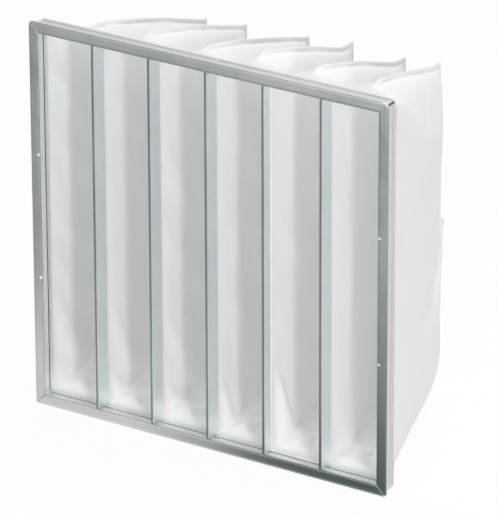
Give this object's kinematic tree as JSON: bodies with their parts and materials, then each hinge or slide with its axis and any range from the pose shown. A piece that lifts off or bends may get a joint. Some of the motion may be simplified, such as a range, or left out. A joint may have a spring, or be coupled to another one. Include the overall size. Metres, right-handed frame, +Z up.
{
  "type": "bag air filter",
  "caption": "Panel-mounted air filter: soft white fabric pockets, open at the front and sewn shut at the rear, held side by side in a square galvanised steel header frame.",
  "frame": {"origin": "under the middle of the filter's width and depth, level with the header's lower edge", "axes": "+Z up, +Y from the header's front face to the rear of the pockets, +X to the right as the air sees it when it enters"},
  "size_m": [0.592, 0.3666, 0.592],
  "materials": {
    "header_steel": "smooth zinc coating, pale grey, bright at the bends",
    "divider_steel": "smooth zinc coating, a little bluer than the header",
    "mouth_frame_steel": "thin bright galvanised strip",
    "filter_media": "soft white nonwoven media, matt, with crossing fibres"
  },
  "bodies": {
    "root": {"header_frame": "header_steel", "divider_1": "divider_steel", "divider_2": "divider_steel", "divider_3": "divider_steel", "divider_4": "divider_steel", "divider_5": "divider_steel", "retaining_strip_left": "header_steel", "retaining_strip_right": "header_steel", "retaining_strip_bottom": "header_steel", "retaining_strip_top": "header_steel", "mouth_frame_1": "mouth_frame_steel", "mouth_frame_2": "mouth_frame_steel", "mouth_frame_3": "mouth_frame_steel", "mouth_frame_4": "mouth_frame_steel", "mouth_frame_5": "mouth_frame_steel", "mouth_frame_6": "mouth_frame_steel", "pocket_1": "filter_media", "pocket_2": "filter_media", "pocket_3": "filter_media", "pocket_4": "filter_media", "pocket_5": "filter_media", "pocket_6": "filter_media"}
  },
  "joints": []
}
